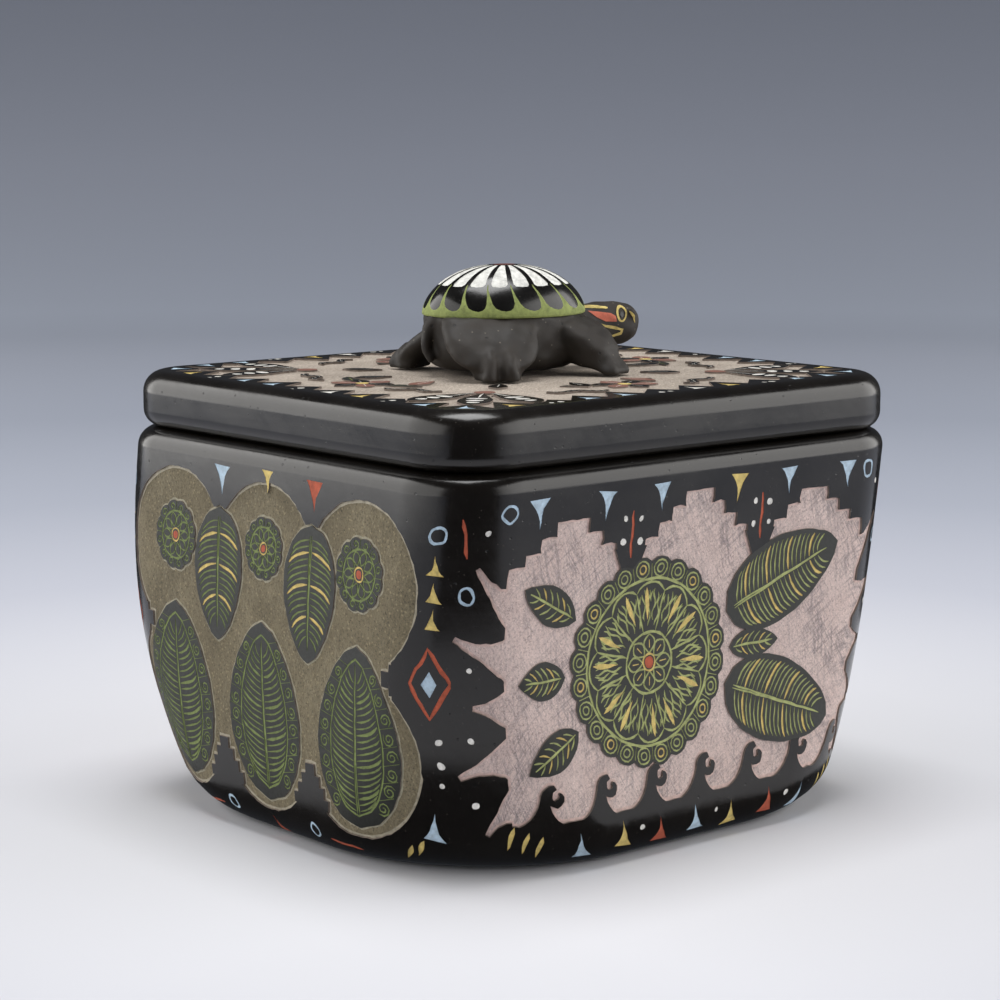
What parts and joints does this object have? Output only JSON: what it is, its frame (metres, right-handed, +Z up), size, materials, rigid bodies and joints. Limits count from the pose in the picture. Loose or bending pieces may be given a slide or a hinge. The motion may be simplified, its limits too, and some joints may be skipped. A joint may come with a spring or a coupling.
{
  "type": "lidded pottery box",
  "caption": "Rounded-square box of polished black clay with carved and incised panels, and a loose flanged lid that lifts off by a turtle handle.",
  "frame": {"origin": "centre of the flat foot, on the surface that the box stands on", "axes": "+Z up, the way the lid lifts; +X along the box's longer sides, the way the turtle's head looks"},
  "size_m": [0.0976, 0.0909, 0.0873],
  "materials": {
    "burnished_clay": "stone-polished, smoke-blackened, satin gloss",
    "smoked_clay": "smoke-blackened, matte",
    "painted_shell_clay": "polished black with incised and painted feathers"
  },
  "bodies": {
    "box": {"box_floor": "burnished_clay", "box_wall": "burnished_clay"},
    "lid": {"lid_plate": "burnished_clay", "lid_flange": "smoked_clay", "turtle_torso": "smoked_clay", "turtle_shell": "painted_shell_clay", "turtle_head": "smoked_clay", "turtle_tail": "smoked_clay", "turtle_leg_front_left": "smoked_clay", "turtle_leg_front_right": "smoked_clay", "turtle_leg_rear_left": "smoked_clay", "turtle_leg_rear_right": "smoked_clay"}
  },
  "joints": [
    {"name": "lid_lift", "type": "slide", "parent": "box", "child": "lid", "axis": [0, 0, 1], "range_m": [0, 0.1]}
  ]
}
